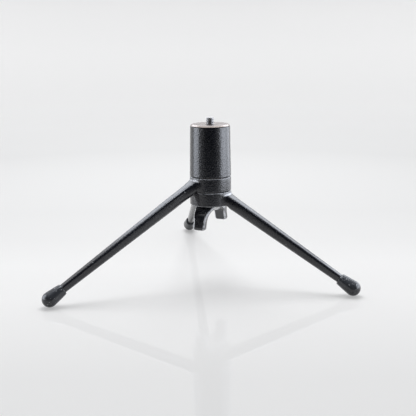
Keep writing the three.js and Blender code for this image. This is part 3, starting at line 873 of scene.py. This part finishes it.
# A painted highlight along the wing nut's rounded edges, kept as a point attribute.
painted_edge_highlight = nut.data.attributes.new("painted_edge_highlight", "FLOAT", "POINT")
painted_edge_highlight.data.foreach_set("value", painted_wing_edge_highlight(points).astype(np.float32))
soften(nut, 45)
finish_piece(nut, NUT, "wing_nut", "black_enamel", "wing_nut")

# ---------------------------------------------------------------- carried-over CAD nodes

FINISHES = {
    "screw_retainer": STEEL, "tension_rod": STEEL, "rod_key_pin": STEEL, "rod_washer": STEEL,
    "rod_nut": STEEL, "nut_stop_screw": STEEL, "thrust_washer": STEEL, "spring_washer": STEEL,
    "wing_nut_insert": STEEL, "upper_collar_bush": BRASS, "lower_collar_bush": BRASS,
    "upper_friction_disc": FIBRE, "lower_friction_disc": FIBRE,
}
for node, material in FINISHES.items():
    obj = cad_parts[node]
    obj.data.materials.clear()
    obj.data.materials.append(material)

# ---------------------------------------------------------------- studio
# Studio places are in millimetres about the hub axis, in the camera's heading: +Y away from the
# camera and +X to its right.


def studio(points):
    """Studio places to places in the frame, in metres."""
    return [tuple(heading @ Vector(p) * MM + Vector((ORIGIN.x, ORIGIN.y, 0))) for p in points]


STAGE_MIRROR, STAGE_MIRROR_ROUGHNESS = 0.075, 0.015


def stage_material():
    """White acrylic: matt, a little luminous, with a faint sharp reflection.

    Its glow varies along the heading and grows far out.
    """
    n = Nodes("stage_white")
    white = n.ramp(n.noise(3.0, 2.0), (0.3, (0.615, 0.62, 0.625)), (0.8, (0.61, 0.614, 0.62)))
    n.link(white, n.shader.inputs["Base Color"])
    n.set(Roughness=0.7, Specular_IOR_Level=0.0, Emission_Color=(0.995, 0.995, 1.0, 1))
    distance = n.add("ShaderNodeVectorMath", operation="LENGTH")
    n.link(n.coordinates, distance.inputs[0])
    far = n.ramp(n.math("MULTIPLY", distance.outputs["Value"], 0.5), (0.3, 0.2), (0.8, 0.61))
    behind = n.add("ShaderNodeVectorMath", operation="DOT_PRODUCT")
    n.link(n.coordinates, behind.inputs[0])
    behind.inputs[1].default_value = (-math.sin(HEADING), math.cos(HEADING), 0)
    near = n.ramp(
        n.math("ADD", n.math("MULTIPLY", behind.outputs["Value"], 0.5), 0.2),
        (0.075, 0.30), (0.15, 0.38), (0.195, 0.37), (0.24, 0.30), (0.3, 0.25), (0.5, 0.235),
    )
    n.link(n.math("MAXIMUM", near, far), n.shader.inputs["Emission Strength"])
    mirror = n.add("ShaderNodeBsdfGlossy")
    mirror.inputs["Roughness"].default_value = STAGE_MIRROR_ROUGHNESS
    blend = n.add("ShaderNodeMixShader")
    blend.inputs["Fac"].default_value = STAGE_MIRROR
    n.link(n.shader.outputs["BSDF"], blend.inputs[1])
    n.link(mirror.outputs["BSDF"], blend.inputs[2])
    n.link(blend.outputs["Shader"], n.output.inputs["Surface"])
    return n.material


def stage_outline():
    """Half section of the round stage: a flat floor that is swept up to upright at its rim."""
    floor_r, sweep = 1100, 700
    floor = [(r, 0.0) for r in (0.0, 200, 500, 800)]
    curve = [
        (floor_r + sweep * math.sin(a), sweep * (1 - math.cos(a)))
        for a in np.linspace(0, math.pi / 2, 24)
    ]
    return floor + curve


points, faces = turned_faces(stage_outline(), 96)
stage = make_mesh("stage", studio(points), faces)
stage.data.materials.append(stage_material())


def flag(name, corners):
    """A black card that shows only in reflections, as the dark room behind the camera does."""
    card = make_mesh(name, studio(corners), [(0, 1, 2, 3)])
    n = Nodes(name)
    n.set(Base_Color=(0.004, 0.004, 0.004, 1), Roughness=1.0, Specular_IOR_Level=0.0)
    card.data.materials.append(n.material)
    for kind in ("camera", "diffuse", "transmission", "volume_scatter", "shadow"):
        setattr(card, "visible_" + kind, False)


FLAG_NEAR, FLAG_FAR, FLAG_LOW, FLAG_HIGH = -300, -1050, 4, 1400
LYING_HALF, STANDING_HALF = 1000, 1450
flag("flag_low", [
    (-LYING_HALF, FLAG_FAR, FLAG_LOW), (LYING_HALF, FLAG_FAR, FLAG_LOW),
    (LYING_HALF, FLAG_NEAR, FLAG_LOW), (-LYING_HALF, FLAG_NEAR, FLAG_LOW),
])
flag("flag_high", [
    (-STANDING_HALF, FLAG_FAR, FLAG_LOW), (STANDING_HALF, FLAG_FAR, FLAG_LOW),
    (STANDING_HALF, FLAG_FAR, FLAG_HIGH), (-STANDING_HALF, FLAG_FAR, FLAG_HIGH),
])

# Cool light is as daylight through a window gives. The groups below say what each light falls on.
COOL, NEUTRAL, WARM = (0.94, 1.0, 1.12), (1, 1, 1), (1, 0.98, 0.96)


def receivers(name, state, *objects):
    """A light's group: only the given objects (INCLUDE), or all but them (EXCLUDE)."""
    group = bpy.data.collections.new(name)
    for obj in objects:
        group.objects.link(obj)
    for member in group.collection_objects:
        member.light_linking.link_state = state
    return group


NOT_STAGE = receivers("not_stage", "EXCLUDE", stage)
NOT_NUT_OR_SEAT = receivers("not_nut_or_seat", "EXCLUDE", nut, seat)
ENAMEL_ONLY = receivers("enamel_only", "EXCLUDE", stage, nut, seat, screw)
SEAT_ONLY = receivers("seat_only", "INCLUDE", seat, screw)


def softbox(name, where, towards, width, height, radiance, group, colour):
    """A rectangular soft light of even brightness."""
    data = bpy.data.lights.new(name, "AREA")
    data.shape = "RECTANGLE"
    data.size, data.size_y = width * MM, height * MM
    data.energy = radiance * math.pi * data.size * data.size_y
    data.color = colour
    obj = bpy.data.objects.new(name, data)
    bpy.context.scene.collection.objects.link(obj)
    stand, target = studio([where, towards])
    obj.location = stand
    obj.rotation_mode = "QUATERNION"
    obj.rotation_quaternion = (Vector(target) - Vector(stand)).to_track_quat("-Z", "Y")
    obj.visible_camera = False
    obj.light_linking.receiver_collection = group


def side_box(name, bearing, half_angle, radiance):
    """An upright box beside the tripod; bearings turn from the camera, + to the right."""
    distance, bottom, height = 420, 5, 400
    angle = math.radians(bearing)
    middle = bottom + height / 2
    where = (distance * math.sin(angle), -distance * math.cos(angle), middle)
    width = 2 * distance * math.tan(math.radians(half_angle))
    softbox(name, where, (0, 0, middle), width, height, radiance, NOT_STAGE, COOL)


side_box("left_box", -86, 18.5, 3.5)
side_box("right_box", 77.5, 17.5, 4.5)
side_box("right_rear_box", 115, 20, 2.3)
# Name, place, target, width, height, radiance, group and colour of each box above or behind.
for box in (
    ("back_box", (0, 750, 720), (0, 0, 60), 1300, 600, 2.0, NOT_STAGE, COOL),
    ("overhead_box", (0, 80, 700), (0, 80, 0), 520, 300, 9.0, ENAMEL_ONLY, COOL),
    ("seat_box", (0, 80, 700), (0, 80, 0), 520, 300, 0.3, SEAT_ONLY, WARM),
    ("top_box", (-30, 500, 900), (-30, 300, 0), 640, 540, 5.2, NOT_NUT_OR_SEAT, NEUTRAL),
):
    softbox(*box)

# The sky's grey by direction, from the dark room behind the camera to the bright wall ahead.
SKY_STOPS = ((0.4, 0.01), (0.62, 0.86))

world = bpy.data.worlds.new("studio")
bpy.context.scene.world = world
world.use_nodes = True
sky = world.node_tree
sky.nodes.clear()
coordinates = sky.nodes.new("ShaderNodeTexCoord")
turned_sky = sky.nodes.new("ShaderNodeMapping")
turned_sky.vector_type = "NORMAL"
turned_sky.inputs["Rotation"].default_value = (0, 0, -HEADING)
split = sky.nodes.new("ShaderNodeSeparateXYZ")
ahead = sky.nodes.new("ShaderNodeMath")
ahead.operation = "MULTIPLY_ADD"
ahead.inputs[1].default_value = 0.5
ahead.inputs[2].default_value = 0.5
ramp = sky.nodes.new("ShaderNodeValToRGB")
for element, (position, grey) in zip(ramp.color_ramp.elements, SKY_STOPS):
    element.position = position
    element.color = (grey, grey, grey, 1)
background = sky.nodes.new("ShaderNodeBackground")
out = sky.nodes.new("ShaderNodeOutputWorld")
for output, socket in (
    (coordinates.outputs["Generated"], turned_sky.inputs["Vector"]),
    (turned_sky.outputs["Vector"], split.inputs["Vector"]),
    (split.outputs["Y"], ahead.inputs[0]),
    (ahead.outputs["Value"], ramp.inputs["Fac"]),
    (ramp.outputs["Color"], background.inputs["Color"]),
    (background.outputs["Background"], out.inputs["Surface"]),
):
    sky.links.new(output, socket)

scene = bpy.context.scene
scene.view_settings.view_transform = "Standard"
scene.view_settings.look = "None"
scene.view_settings.exposure = 0.0
scene.view_settings.gamma = 1.0
